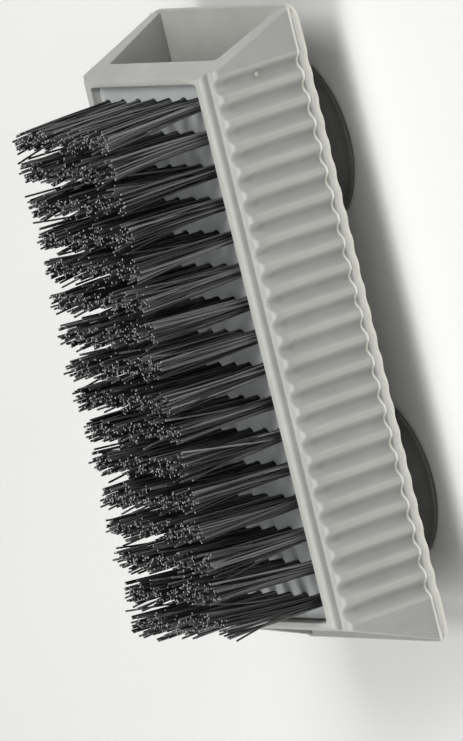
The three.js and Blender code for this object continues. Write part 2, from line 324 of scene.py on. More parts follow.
def srgb(code):
    """A hex colour, as it looks on a screen, as the linear values that a shader takes."""
    values = [int(code[place:place + 2], 16) / 255 for place in (1, 3, 5)]
    linear = [v / 12.92 if v <= 0.04045 else ((v + 0.055) / 1.055) ** 2.4 for v in values]
    return (*linear, 1.0)


def wire(tree, kind, *inputs, **settings):
    """Adds a node with its settings, feeds its inputs in order, and gives its first output."""
    node = tree.nodes.new(kind)
    for name, value in settings.items():
        setattr(node, name, value)
    for socket, value in zip([socket for socket in node.inputs if socket.enabled], inputs):
        if isinstance(value, bpy.types.NodeSocket):
            tree.links.new(value, socket)
        elif value is not None:
            socket.default_value = value
    return next((socket for socket in node.outputs if socket.enabled), None)


def new_material(name, **surface):
    """A material with a principled surface, whose sockets that stay the same all over are set directly."""
    material = bpy.data.materials.new(name)
    material.use_nodes = True
    shader = material.node_tree.nodes["Principled BSDF"]
    for socket, value in surface.items():
        shader.inputs[socket.replace("_", " ")].default_value = value
    return material, material.node_tree, shader


# Moulded polypropylene has a satin skin with a faint spark-eroded grain, cloudy pigment and a few rubs that
# run up and down the walls. The grain is drawn coarser than the real one so that it shows at this size.
CLOUD_SIZE = 9.0 * MM
RUB_WIDTH = 1.1 * MM
RUB_SQUEEZE = 0.12  # draws the rubs out along the height
GRAIN_SIZE = 0.35 * MM
GRAIN_DEPTH = 0.05 * MM


def moulded_plastic(name, deep, pale, rub_and_highlight_colour, pale_marks=(), grime="#6e6e69"):
    """Grey plastic with a few real rubs, painted paler in the bands that the list of pale marks gives,
    mostly as painted highlights and paint that lifts shade, and darkened as painted shade by the share in
    its shade attribute.

    Each entry of the pale marks is an attribute, a share, the height with all of that share and the height
    with none.
    """
    material, tree, shader = new_material(name, IOR=1.49)
    place = tree.nodes.new("ShaderNodeTexCoord").outputs["Object"]
    cloud = wire(tree, "ShaderNodeTexNoise", place, 1 / CLOUD_SIZE, 3.0, 0.55)
    tone = wire(tree, "ShaderNodeMapRange", cloud, 0.3, 0.7, 0.0, 1.0)
    colour = wire(tree, "ShaderNodeMix", tone, srgb(deep), srgb(pale), data_type="RGBA")
    drawn = wire(tree, "ShaderNodeMapping", place, None, None, (1.0, 1.0, RUB_SQUEEZE))
    streak = wire(tree, "ShaderNodeTexNoise", drawn, 1 / RUB_WIDTH, 4.0, 0.6)
    rubs_and_highlights = wire(tree, "ShaderNodeMapRange", streak, 0.56, 0.74, 0.0, 0.08)
    height = wire(tree, "ShaderNodeSeparateXYZ", place).node.outputs["Z"]
    # Each pale mark paints a band of heights paler; most are painted highlights, and some lift the shade
    # that falls there.
    for attribute, share, all_at, none_at in pale_marks:
        band = wire(tree, "ShaderNodeMapRange", height, all_at, none_at, share, 0.0)
        pale_weight = wire(tree, "ShaderNodeAttribute", attribute_name=attribute).node.outputs["Fac"]
        rubs_and_highlights = wire(tree, "ShaderNodeMath", band, pale_weight, rubs_and_highlights, operation="MULTIPLY_ADD", use_clamp=True)
    colour = wire(tree, "ShaderNodeMix", rubs_and_highlights, colour, srgb(rub_and_highlight_colour), data_type="RGBA")
    # Painted shade: darker where the seam's shade attribute says so, on the back plate before the flutes'
    # hollows.
    shade_share = wire(tree, "ShaderNodeAttribute", attribute_name="grime").node.outputs["Fac"]
    colour = wire(tree, "ShaderNodeMix", shade_share, colour, srgb(grime), data_type="RGBA")
    tree.links.new(colour, shader.inputs["Base Color"])
    gloss = wire(tree, "ShaderNodeMapRange", streak, 0.3, 0.7, 0.36, 0.5)
    tree.links.new(gloss, shader.inputs["Roughness"])
    grain = wire(tree, "ShaderNodeTexNoise", place, 1 / GRAIN_SIZE, 2.0, 0.5)
    bump = wire(tree, "ShaderNodeBump", 0.12, GRAIN_DEPTH)
    tree.links.new(grain, bump.node.inputs["Height"])
    tree.links.new(bump, shader.inputs["Normal"])
    return material


# The crests are paler, fading out towards the ledge. The rim's top is painted paler against the shade that
# the bristles cast on it, the ledge's round edge is painted pale as a painted highlight, and so is the weld
# bead, most in the hollows where it would lie in shade. The hollows are paler a little way above the bead.
shell_plastic = moulded_plastic("grey_moulded_polypropylene", "#adaeaa", "#b6b7b3", "#f3f2e8", [
    ("ridge", 0.17, ledge - 2 * MM, ledge),
    # Painted light on the rim's top, against the shade that the bristles cast.
    ("rim", 0.18, rim_top, rim_top - RIM_ROUND),
    # Painted highlight on the round edge of the ledge.
    ("lip", 0.12, ledge, ledge + MM),
    # Painted highlight on the gate stub's side that faces up.
    ("torn", 0.9, ledge, ledge + MM),
    # Painted highlight on the weld bead, strongest in the hollows.
    ("fluted", 0.4, weld_top, weld_top + 0.12 * MM),
    ("hollow", 0.6, weld_top, weld_top + 0.12 * MM),
    ("hollow", 0.18, weld_top, weld_top + 1.5 * MM),
])


def new_tree(name, inputs):
    """A geometry tree with its named inputs, as the tree, the input node and the sockets' identifiers."""
    tree = bpy.data.node_groups.new(name, "GeometryNodeTree")
    tree.interface.new_socket("Geometry", in_out="INPUT", socket_type="NodeSocketGeometry")
    tree.interface.new_socket("Geometry", in_out="OUTPUT", socket_type="NodeSocketGeometry")
    identifiers = {}
    for label, kind in inputs.items():
        socket = tree.interface.new_socket(label, in_out="INPUT", socket_type="NodeSocket" + kind)
        identifiers[label] = socket.identifier
    return tree, tree.nodes.new("NodeGroupInput").outputs, identifiers


def finish_tree(tree, geometry, finish, where=None):
    """Ends a tree: what it made becomes real geometry and takes its material."""
    real = wire(tree, "GeometryNodeRealizeInstances", geometry)
    wire(tree, "NodeGroupOutput", wire(tree, "GeometryNodeSetMaterial", real, where, finish))


def grow(piece, tree, identifiers, values):
    """Runs a tree on a piece with the given sizes."""
    modifier = piece.modifiers.new(tree.name, "NODES")
    modifier.node_group = tree
    for label, value in values.items():
        modifier[identifiers[label]] = value


def settle(piece):
    """Turns what the modifiers make into the piece's own plain mesh, with broad faces shaded flat."""
    piece.modifiers.new("even_shading", "WEIGHTED_NORMAL").keep_sharp = True
    graph = bpy.context.evaluated_depsgraph_get()
    made = piece.evaluated_get(graph)
    mesh = bpy.data.meshes.new_from_object(made, preserve_all_data_layers=True, depsgraph=graph)
    piece.modifiers.clear()
    piece.data = mesh


flutes, given, flute_inputs = new_tree(
    "hollow_flutes",
    {
        "Pitch": "Float", "Count": "Float", "Width": "Float", "Depth": "Float", "Ridge round": "Float",
        "Scoop width": "Float", "Scoop depth": "Float", "Scoop foot": "Float", "Scoop runout": "Float",
        "Finish": "Material",
    },
)

# Each point's place across its own flute, from -1 on one crest to 1 on the next.
spot = wire(flutes, "ShaderNodeSeparateXYZ", wire(flutes, "GeometryNodeInputPosition")).node.outputs
half_count = wire(flutes, "ShaderNodeMath", given["Count"], 0.5, operation="MULTIPLY")
turns = wire(flutes, "ShaderNodeMath", spot["X"], given["Pitch"], operation="DIVIDE")
counted = wire(flutes, "ShaderNodeMath", turns, half_count, operation="ADD")
share = wire(flutes, "ShaderNodeMath", counted, operation="FRACT")
across = wire(flutes, "ShaderNodeMath", share, 2.0, -1.0, operation="MULTIPLY_ADD")

# The flute's round bowl, softened into the crests, from 0 on a crest to 1 in the middle.
widths = wire(flutes, "ShaderNodeMath", given["Pitch"], given["Width"], operation="DIVIDE")
round_squared = wire(flutes, "ShaderNodeMath", given["Ridge round"], 2.0, operation="POWER")
hollows = []
for from_middle in (across, 0.0, 1.0):
    channel = wire(flutes, "ShaderNodeMath", from_middle, widths, operation="MULTIPLY")
    squared = wire(flutes, "ShaderNodeMath", channel, 2.0, operation="POWER")
    bowl = wire(flutes, "ShaderNodeMath", 1.0, squared, operation="SUBTRACT")
    softened = wire(flutes, "ShaderNodeMath", bowl, bowl, round_squared, operation="MULTIPLY_ADD")
    root = wire(flutes, "ShaderNodeMath", softened, operation="SQRT")
    hollows.append(wire(flutes, "ShaderNodeMath", bowl, root, operation="ADD"))
hollow = wire(flutes, "ShaderNodeMapRange", hollows[0], hollows[2], hollows[1], 0.0, 1.0)

# Points take it by their weight, and only within the row of flutes.
reach = wire(flutes, "ShaderNodeMath", turns, operation="ABSOLUTE")
in_row = wire(flutes, "ShaderNodeMath", reach, half_count, operation="LESS_THAN")
weight = wire(flutes, "GeometryNodeInputNamedAttribute", "fluted", data_type="FLOAT")
taking = wire(flutes, "ShaderNodeMath", in_row, weight, operation="MULTIPLY")
dip = wire(flutes, "ShaderNodeMath", hollow, taking, operation="MULTIPLY")
depth = wire(flutes, "ShaderNodeMath", dip, given["Depth"], operation="MULTIPLY")

# The scoop, flat across its middle, deepens the upper end of each flute.
scoop_widths = wire(flutes, "ShaderNodeMath", given["Pitch"], given["Scoop width"], operation="DIVIDE")
scoop_across = wire(flutes, "ShaderNodeMath", across, scoop_widths, operation="MULTIPLY")
scoop_flat = wire(flutes, "ShaderNodeMath", scoop_across, 4.0, operation="POWER")
scoop_bowl = wire(flutes, "ShaderNodeMath", 1.0, scoop_flat, operation="SUBTRACT", use_clamp=True)
runout = wire(flutes, "ShaderNodeMath", given["Scoop foot"], given["Scoop runout"], operation="ADD")
scoop_rise = wire(
    flutes, "ShaderNodeMapRange", spot["Z"], given["Scoop foot"], runout, 0.0, given["Scoop depth"],
    interpolation_type="SMOOTHSTEP",
)
scooped = wire(flutes, "ShaderNodeMath", scoop_bowl, taking, operation="MULTIPLY")
depth = wire(flutes, "ShaderNodeMath", scooped, scoop_rise, depth, operation="MULTIPLY_ADD")

# Both sides are pressed in, and crests and hollows are marked for the material.
side = wire(flutes, "ShaderNodeMath", spot["Y"], operation="SIGN")
inwards = wire(flutes, "ShaderNodeMath", depth, side, operation="MULTIPLY")
shift_y = wire(flutes, "ShaderNodeMath", inwards, -1.0, operation="MULTIPLY")
shift = wire(flutes, "ShaderNodeCombineXYZ", 0.0, shift_y, 0.0)
pressed = wire(flutes, "GeometryNodeSetPosition", given["Geometry"], None, None, shift)
crest = wire(flutes, "ShaderNodeMath", 1.0, hollow, operation="SUBTRACT")
crest_share = wire(flutes, "ShaderNodeMath", crest, 6.0, operation="POWER")
ridge = wire(flutes, "ShaderNodeMath", crest_share, taking, operation="MULTIPLY")
marked = wire(flutes, "GeometryNodeStoreNamedAttribute", pressed, None, "ridge", ridge, data_type="FLOAT")
marked = wire(flutes, "GeometryNodeStoreNamedAttribute", marked, None, "hollow", dip, data_type="FLOAT")
finish_tree(flutes, marked, given["Finish"])

flute_sizes = {
    "Pitch": FLUTE_PITCH,
    "Count": float(FLUTE_COUNT),
    "Width": FLUTE_WIDTH,
    "Depth": FLUTE_DEPTH,
    "Ridge round": RIDGE_ROUND,
    "Scoop width": SCOOP_WIDTH,
    "Scoop depth": SCOOP_DEPTH,
    "Scoop foot": scoop_foot,
    "Scoop runout": SCOOP_RUNOUT,
}
grow(shell, flutes, flute_inputs, {**flute_sizes, "Finish": shell_plastic})
settle(shell)
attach(shell, "brush")
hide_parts("body_shell")

# Bristle plate
# A flat plate of bluer grey polypropylene, drilled for the tufts before they are driven in, then bonded
# into the pocket inside the rim.
ROW_COUNT = 16
COLUMN_COUNT = 7
ROW_PITCH = 5.0 * MM
COLUMN_PITCH = 4.22 * MM
TUFT_RADIUS = 1.1 * MM
TUFT_HOLE_DEPTH = 2.0 * MM
TUFT_HOLE_SIDES = 14
PLATE_SINK = 1.3 * MM
PLATE_CORNER = 0.8 * MM
PLATE_EDGE = 0.2 * MM
plate_top = rim_top - PLATE_SINK
plate_half_length = plate_high.x
plate_half_width = plate_high.y


def rounded_rectangle(half_length, half_width, corner, inset, z):
    """Points of a plate's outline with round corners, drawn in by an inset."""
    points = []
    for start, sign_x, sign_y in ((0, 1, 1), (90, -1, 1), (180, -1, -1), (270, 1, -1)):
        centre = (sign_x * (half_length - corner), sign_y * (half_width - corner))
        points += [(x, y, z) for x, y in arc(centre, corner - inset, start, start + 90)]
    return points


plate_rings = [
    rounded_rectangle(plate_half_length, plate_half_width, PLATE_CORNER, inset, z)
    for inset, z in (
        (PLATE_EDGE, plate_low.z),
        (0.0, plate_low.z + PLATE_EDGE),
        (0.0, plate_top - PLATE_EDGE),
        (PLATE_EDGE, plate_top),
    )
]
bristle_plate = stack_rings("bristle_plate_drilled", plate_rings)
plate_plastic = moulded_plastic("blue_grey_moulded_polypropylene", "#bdc1c0", "#c7cbca", "#d2d5d4")


def tuft_grid(tree, given, height):
    """The points of a tree's rows and columns, raised to the height that one of its inputs gives."""
    spans = []
    for count, pitch in (("Rows", "Row pitch"), ("Columns", "Column pitch")):
        gaps = wire(tree, "ShaderNodeMath", given[count], 1.0, operation="SUBTRACT")
        spans.append(wire(tree, "ShaderNodeMath", gaps, given[pitch], operation="MULTIPLY"))
    grid = wire(tree, "GeometryNodeMeshGrid", *spans, given["Rows"], given["Columns"])
    lift = wire(tree, "ShaderNodeCombineXYZ", 0.0, 0.0, given[height])
    return wire(tree, "GeometryNodeSetPosition", grid, None, None, lift)


holes, given, hole_inputs = new_tree(
    "tuft_holes",
    {
        "Rows": "Int", "Columns": "Int", "Row pitch": "Float", "Column pitch": "Float",
        "Radius": "Float", "Sides": "Int", "Depth": "Float", "Plate top": "Float", "Finish": "Material",
    },
)
drill_length = wire(holes, "ShaderNodeMath", given["Depth"], 2.0, operation="MULTIPLY")
drill = wire(holes, "GeometryNodeMeshCylinder", given["Sides"], 1, 1, given["Radius"], drill_length)
hole_places = tuft_grid(holes, given, "Plate top")
drills = wire(holes, "GeometryNodeInstanceOnPoints", hole_places, None, drill)
real_drills = wire(holes, "GeometryNodeRealizeInstances", drills)
drilled = wire(holes, "GeometryNodeMeshBoolean", given["Geometry"], real_drills, operation="DIFFERENCE")
finish_tree(holes, drilled, given["Finish"])

tuft_field = {
    "Rows": ROW_COUNT,
    "Columns": COLUMN_COUNT,
    "Row pitch": ROW_PITCH,
    "Column pitch": COLUMN_PITCH,
}
grow(bristle_plate, holes, hole_inputs, {
    **tuft_field,
    "Radius": TUFT_RADIUS,
    "Sides": TUFT_HOLE_SIDES,
    "Depth": TUFT_HOLE_DEPTH,
    "Plate top": plate_top,
    "Finish": plate_plastic,
})
settle(bristle_plate)
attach(bristle_plate, "brush")
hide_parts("bristle_plate")

# Tuft anchors
# Short clippings of flat nickel-silver wire. Each one pins the fold of a tuft to the bottom of its hole, so
# none of them shows once the brush is filled.
ANCHOR_WIDTH = 2.0 * MM
ANCHOR_THICKNESS = 0.3 * MM
ANCHOR_HEIGHT = 1.2 * MM
DRAWN_LINE = 0.2 * MM

# Drawn wire has a soft shine with faint light and dark lines.
anchor_metal, tree, shader = new_material("flat_nickel_silver_wire", Metallic=1.0)
place = tree.nodes.new("ShaderNodeTexCoord").outputs["Object"]
drawn_lines = wire(tree, "ShaderNodeTexNoise", place, 1 / DRAWN_LINE, 2.0)
wire_colour = wire(tree, "ShaderNodeMix", drawn_lines, srgb("#b7b0a0"), srgb("#d3cdbf"), data_type="RGBA")
tree.links.new(wire_colour, shader.inputs["Base Color"])
wire_gloss = wire(tree, "ShaderNodeMapRange", drawn_lines, 0.0, 1.0, 0.25, 0.4)
tree.links.new(wire_gloss, shader.inputs["Roughness"])

pins, given, pin_inputs = new_tree(
    "tuft_anchors",
    {
        "Rows": "Int", "Columns": "Int", "Row pitch": "Float", "Column pitch": "Float",
        "Size": "Vector", "Middle": "Float", "Finish": "Material",
    },
)
clipping = wire(pins, "GeometryNodeMeshCube", given["Size"])
pin_places = tuft_grid(pins, given, "Middle")
clippings = wire(pins, "GeometryNodeInstanceOnPoints", pin_places, None, clipping)
finish_tree(pins, clippings, given["Finish"])

anchors = place_in_scene("tuft_anchors", bpy.data.meshes.new("tuft_anchors"))
grow(anchors, pins, pin_inputs, {
    **tuft_field,
    "Size": (ANCHOR_THICKNESS, ANCHOR_WIDTH, ANCHOR_HEIGHT),
    "Middle": plate_top - TUFT_HOLE_DEPTH + ANCHOR_HEIGHT / 2,
    "Finish": anchor_metal,
})
settle(anchors)
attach(anchors, "brush")

# Bristles
# Tufts of drawn black nylon filament, folded round their anchors and cut level across the tips. The tufts
# near the edge lean in a little, each tuft fans towards its neighbours, and a few filaments stray.
FILAMENTS_PER_TUFT = 30
FILAMENT_POINTS = 7
FILAMENT_SIDES = 5
FILAMENT_RADIUS = 0.16 * MM
BRISTLE_LENGTH = 17.2 * MM
LENGTH_SCATTER = 0.3 * MM
EDGE_LEAN = 0.95 * MM
TUFT_LEAN = 0.5 * MM
TIP_SCATTER = 0.65 * MM
STRAY_SCATTER = 2.6 * MM
STRAY_POWER = 11.0  # the higher, the fewer filaments stray
FAN_ALONG = 0.55
FAN_ACROSS = 0.85
BEND_POWER = 1.35
BOW_SHARE = 0.5
TUFT_SEED = 5
GOLDEN_ANGLE = math.radians(137.508)
ROWS_PER_PIECE = 4

# Drawn nylon is glossy along the filament, and its black varies from one filament to the next. The palest
# few filaments run to pale grey as painted highlight streaks.
nylon, tree, shader = new_material("drawn_black_nylon", IOR=1.53)
tone = wire(tree, "ShaderNodeAttribute", attribute_name="strand_tone").node.outputs["Fac"]
streak_highlight_share = wire(tree, "ShaderNodeMath", tone, 2.5, operation="POWER")
nylon_colour = wire(tree, "ShaderNodeMix", streak_highlight_share, srgb("#1b1b1b"), srgb("#8d8d8c"), data_type="RGBA")
tree.links.new(nylon_colour, shader.inputs["Base Color"])
nylon_gloss = wire(tree, "ShaderNodeMapRange", tone, 0.0, 1.0, 0.4, 0.28)
tree.links.new(nylon_gloss, shader.inputs["Roughness"])

# The knife leaves pale matt ends, some of them smeared dark. An end's tone is drawn from its filament's.
cut_nylon, tree, shader = new_material("cut_nylon_ends", IOR=1.53, Roughness=0.7)
tone = wire(tree, "ShaderNodeAttribute", attribute_name="strand_tone").node.outputs["Fac"]
cut_tone = wire(tree, "ShaderNodeMath", tone, 7.3, operation="MULTIPLY")
cut_draw = wire(tree, "ShaderNodeMath", cut_tone, operation="FRACT")
cut_colour = wire(tree, "ShaderNodeMix", cut_draw, srgb("#323232"), srgb("#b0b0af"), data_type="RGBA")
tree.links.new(cut_colour, shader.inputs["Base Color"])

tufting, given, tuft_inputs = new_tree(
    "tufted_rows",
    {
        "Rows": "Int", "First row": "Int", "All rows": "Int", "Columns": "Int",
        "Row pitch": "Float", "Column pitch": "Float",
        "Filaments": "Int", "Points": "Int", "Sides": "Int", "Filament radius": "Float",
        "Tuft radius": "Float", "Root": "Float", "Length": "Float", "Length scatter": "Float",
        "Edge lean": "Float", "Tuft lean": "Float", "Tip scatter": "Float", "Stray scatter": "Float",
        "Fan along": "Float", "Fan across": "Float", "Seed": "Int",
        "Finish": "Material", "Cut finish": "Material",
    },
)

# One point for each step of each filament, with the numbers of its filament, tuft, row and column.
per_row = wire(tufting, "ShaderNodeMath", given["Columns"], given["Filaments"], operation="MULTIPLY")
strands = wire(tufting, "ShaderNodeMath", per_row, given["Rows"], operation="MULTIPLY")
total = wire(tufting, "ShaderNodeMath", strands, given["Points"], operation="MULTIPLY")
cloud = wire(tufting, "GeometryNodePoints", total)
index = wire(tufting, "GeometryNodeInputIndex")
strand_place = wire(tufting, "ShaderNodeMath", index, given["Points"], operation="DIVIDE")
strand = wire(tufting, "ShaderNodeMath", strand_place, operation="FLOOR")
step = wire(tufting, "ShaderNodeMath", index, given["Points"], operation="MODULO")
last_step = wire(tufting, "ShaderNodeMath", given["Points"], 1.0, operation="SUBTRACT")
along = wire(tufting, "ShaderNodeMath", step, last_step, operation="DIVIDE")
tuft_place = wire(tufting, "ShaderNodeMath", strand, given["Filaments"], operation="DIVIDE")
tuft = wire(tufting, "ShaderNodeMath", tuft_place, operation="FLOOR")
in_tuft = wire(tufting, "ShaderNodeMath", strand, given["Filaments"], operation="MODULO")
row_place = wire(tufting, "ShaderNodeMath", tuft, given["Columns"], operation="DIVIDE")
row_here = wire(tufting, "ShaderNodeMath", row_place, operation="FLOOR")
row = wire(tufting, "ShaderNodeMath", row_here, given["First row"], operation="ADD")
column = wire(tufting, "ShaderNodeMath", tuft, given["Columns"], operation="MODULO")

# Numbers for the random draws, so that the four pieces don't repeat each other.
whole_tuft = wire(tufting, "ShaderNodeMath", tuft, 1000.0, given["First row"], operation="MULTIPLY_ADD")
whole_strand = wire(
    tufting, "ShaderNodeMath", given["First row"], 100000.0, strand, operation="MULTIPLY_ADD"
)

# The middle of each tuft along and across the brush, and how far its tip leans in there.
middles = []
for number, count, pitch in ((row, "All rows", "Row pitch"), (column, "Columns", "Column pitch")):
    last = wire(tufting, "ShaderNodeMath", given[count], 1.0, operation="SUBTRACT")
    half = wire(tufting, "ShaderNodeMath", last, 0.5, operation="MULTIPLY")
    from_middle = wire(tufting, "ShaderNodeMath", number, half, operation="SUBTRACT")
    middle = wire(tufting, "ShaderNodeMath", from_middle, given[pitch], operation="MULTIPLY")
    field_share = wire(tufting, "ShaderNodeMath", from_middle, half, operation="DIVIDE")
    outwards = wire(tufting, "ShaderNodeMath", field_share, operation="ABSOLUTE")
    leaning = wire(tufting, "ShaderNodeMath", field_share, outwards, operation="MULTIPLY")
    lean_out = wire(tufting, "ShaderNodeMath", leaning, given["Edge lean"], operation="MULTIPLY")
    lean_in = wire(tufting, "ShaderNodeMath", lean_out, -1.0, operation="MULTIPLY")
    middles.append((middle, lean_in))

# The filaments fill the round hole evenly, and a few of them stray far. Each draw below has its own seed.
turn_start = wire(
    tufting, "FunctionNodeRandomValue", 0.0, math.tau, whole_tuft, given["Seed"], data_type="FLOAT"
)
turn = wire(tufting, "ShaderNodeMath", in_tuft, GOLDEN_ANGLE, turn_start, operation="MULTIPLY_ADD")
ring_place = wire(tufting, "ShaderNodeMath", in_tuft, 0.5, operation="ADD")
ring_share = wire(tufting, "ShaderNodeMath", ring_place, given["Filaments"], operation="DIVIDE")
ring = wire(tufting, "ShaderNodeMath", ring_share, operation="SQRT")
free_radius = wire(
    tufting, "ShaderNodeMath", given["Tuft radius"], given["Filament radius"], operation="SUBTRACT"
)
from_centre = wire(tufting, "ShaderNodeMath", ring, free_radius, operation="MULTIPLY")
stray_draw = wire(
    tufting, "FunctionNodeRandomValue", 0.0, 1.0, whole_strand, given["Seed"], data_type="FLOAT"
)
stray_share = wire(tufting, "ShaderNodeMath", stray_draw, STRAY_POWER, operation="POWER")
strayed = wire(
    tufting, "ShaderNodeMath", stray_share, given["Stray scatter"], given["Tip scatter"],
    operation="MULTIPLY_ADD",
)
bending = wire(tufting, "ShaderNodeMath", along, BEND_POWER, operation="POWER")
swing = wire(tufting, "ShaderNodeMath", along, math.pi, operation="MULTIPLY")
bow = wire(tufting, "ShaderNodeMath", swing, operation="SINE")

# Each filament leans with its tuft, fans out from it, scatters at the tip and bows a little on the way.
places = []
for axis, (middle, lean_in) in enumerate(middles):
    circle = wire(tufting, "ShaderNodeMath", turn, operation="COSINE" if axis == 0 else "SINE")
    root_shift = wire(tufting, "ShaderNodeMath", circle, from_centre, operation="MULTIPLY")
    fan = given["Fan along"] if axis == 0 else given["Fan across"]
    tuft_seed = wire(tufting, "ShaderNodeMath", given["Seed"], 11.0 + axis, operation="ADD")
    tuft_draw = wire(
        tufting, "FunctionNodeRandomValue", -1.0, 1.0, whole_tuft, tuft_seed, data_type="FLOAT"
    )
    tip_seed = wire(tufting, "ShaderNodeMath", given["Seed"], 21.0 + axis, operation="ADD")
    tip_draw = wire(
        tufting, "FunctionNodeRandomValue", -1.0, 1.0, whole_strand, tip_seed, data_type="FLOAT"
    )
    bow_seed = wire(tufting, "ShaderNodeMath", given["Seed"], 31.0 + axis, operation="ADD")
    bow_draw = wire(
        tufting, "FunctionNodeRandomValue", -1.0, 1.0, whole_strand, bow_seed, data_type="FLOAT"
    )
    tip = wire(tufting, "ShaderNodeMath", tuft_draw, given["Tuft lean"], lean_in, operation="MULTIPLY_ADD")
    tip = wire(tufting, "ShaderNodeMath", root_shift, fan, tip, operation="MULTIPLY_ADD")
    tip = wire(tufting, "ShaderNodeMath", tip_draw, strayed, tip, operation="MULTIPLY_ADD")
    bowed = wire(tufting, "ShaderNodeMath", bow_draw, bow, operation="MULTIPLY")
    bowed_far = wire(tufting, "ShaderNodeMath", bowed, BOW_SHARE, operation="MULTIPLY")
    bowed_size = wire(tufting, "ShaderNodeMath", bowed_far, given["Tip scatter"], operation="MULTIPLY")
    start = wire(tufting, "ShaderNodeMath", middle, root_shift, operation="ADD")
    leaned = wire(tufting, "ShaderNodeMath", tip, bending, start, operation="MULTIPLY_ADD")
    places.append(wire(tufting, "ShaderNodeMath", leaned, bowed_size, operation="ADD"))

length_seed = wire(tufting, "ShaderNodeMath", given["Seed"], 41.0, operation="ADD")
length_draw = wire(
    tufting, "FunctionNodeRandomValue", -1.0, 0.0, whole_strand, length_seed, data_type="FLOAT"
)
strand_length = wire(
    tufting, "ShaderNodeMath", length_draw, given["Length scatter"], given["Length"],
    operation="MULTIPLY_ADD",
)
height = wire(tufting, "ShaderNodeMath", strand_length, along, given["Root"], operation="MULTIPLY_ADD")
strand_point = wire(tufting, "ShaderNodeCombineXYZ", places[0], places[1], height)
placed = wire(tufting, "GeometryNodeSetPosition", cloud, None, strand_point)

# The points become threads that know their tone, and the faces past the last step are the cut ends.
measured = wire(
    tufting, "GeometryNodeStoreNamedAttribute", placed, None, "along", along, data_type="FLOAT"
)
tone_seed = wire(tufting, "ShaderNodeMath", given["Seed"], 51.0, operation="ADD")
tone_draw = wire(tufting, "FunctionNodeRandomValue", 0.0, 1.0, whole_strand, tone_seed, data_type="FLOAT")
toned = wire(
    tufting, "GeometryNodeStoreNamedAttribute", measured, None, "strand_tone", tone_draw, data_type="FLOAT"
)
curves = wire(tufting, "GeometryNodePointsToCurves", toned, strand, step)
thread = wire(tufting, "GeometryNodeCurvePrimitiveCircle", given["Sides"], mode="RADIUS")
tufting.links.new(given["Filament radius"], thread.node.inputs["Radius"])
filaments = wire(tufting, "GeometryNodeCurveToMesh", curves, thread)
filaments.node.inputs["Fill Caps"].default_value = True
finished = wire(tufting, "GeometryNodeSetMaterial", filaments, None, given["Finish"])
end_share = wire(tufting, "GeometryNodeInputNamedAttribute", "along", data_type="FLOAT")
cut_end = wire(tufting, "FunctionNodeCompare", end_share, 0.99, data_type="FLOAT", operation="GREATER_THAN")
finish_tree(tufting, finished, given["Cut finish"], cut_end)

root_depth = TUFT_HOLE_DEPTH - ANCHOR_HEIGHT
for piece_number in range(ROW_COUNT // ROWS_PER_PIECE):
    name = f"nylon_tufts_{piece_number + 1}"
    tufts = place_in_scene(name, bpy.data.meshes.new(name))
    grow(tufts, tufting, tuft_inputs, {
        **tuft_field,
        "Rows": ROWS_PER_PIECE,
        "First row": piece_number * ROWS_PER_PIECE,
        "All rows": ROW_COUNT,
        "Filaments": FILAMENTS_PER_TUFT,
        "Points": FILAMENT_POINTS,
        "Sides": FILAMENT_SIDES,
        "Filament radius": FILAMENT_RADIUS,
        "Tuft radius": TUFT_RADIUS,
        "Root": plate_top - root_depth,
        "Length": BRISTLE_LENGTH + root_depth,
        "Length scatter": LENGTH_SCATTER,
        "Edge lean": EDGE_LEAN,
        "Tuft lean": TUFT_LEAN,
        "Tip scatter": TIP_SCATTER,
        "Stray scatter": STRAY_SCATTER,
        "Fan along": FAN_ALONG,
        "Fan across": FAN_ACROSS,
        "Seed": TUFT_SEED,
        "Finish": nylon,
        "Cut finish": cut_nylon,
    })
    settle(tufts)
    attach(tufts, "brush")
    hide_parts(f"bristles_{piece_number + 1}")

# Back plate
# A thin moulded plate of the same grey plastic, welded to the shell along a wavy seam, with painted shade
# on its top before the hollows of the flutes, where the shell's wall shades it. Its edge stands out past
# the ridges and repeats the flutes faintly, and each suction cup is pushed through a hole in it.
BACK_THICKNESS = 1.0 * MM
BACK_CORNER = 2.5 * MM
BACK_EDGE = 0.25 * MM
BACK_WAVE = 0.3 * MM
BACK_PALE_EDGE = 1.3 * MM
SEAM_INSET = 2.1 * MM
SEAM_SHADE = 0.45
NUB_END_SETBACK = 2.2 * MM
NUB_SIDE_SETBACK = 0.3 * MM
NUB_PROFILE = ((0.26, -0.1), (0.28, 0.0), (0.26, 0.08), (0.21, 0.14), (0.14, 0.19), (0.05, 0.22))
CUP_HOLE_RADIUS = 3.2 * MM
CUP_HOLE_SIDES = 48
LOCATOR_WIDTH = 1.2 * MM
LOCATOR_HEIGHT = 1.2 * MM
LOCATOR_SETBACK = 12.0 * MM
LOCATOR_CLEARANCE = 0.35 * MM
LOCATOR_ROUND = 0.25 * MM
cup_low, cup_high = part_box("suction_cup_a")
cup_centre = (cup_low.x + cup_high.x) / 2
back_top = back_low.z + BACK_THICKNESS
back_half_length = back_high.x
back_half_width = back_high.y


def back_ring(inset, z):
    """The plate's outline at one height, with points along its sides close enough to take the waves."""
    run = back_half_length - BACK_CORNER
    steps = round(2 * run / flute_step)
    points = []
    for side, start in ((-1, 180), (1, 0)):
        corner_y = side * (back_half_width - BACK_CORNER)
        points += arc((side * run, corner_y), BACK_CORNER - inset, start, start + 90, 6)
        for step in range(1, steps):
            points.append((side * run * (1 - 2 * step / steps), side * (back_half_width - inset)))
        points += arc((-side * run, corner_y), BACK_CORNER - inset, start + 90, start + 180, 6)
    return [(x, y, z) for x, y in points]


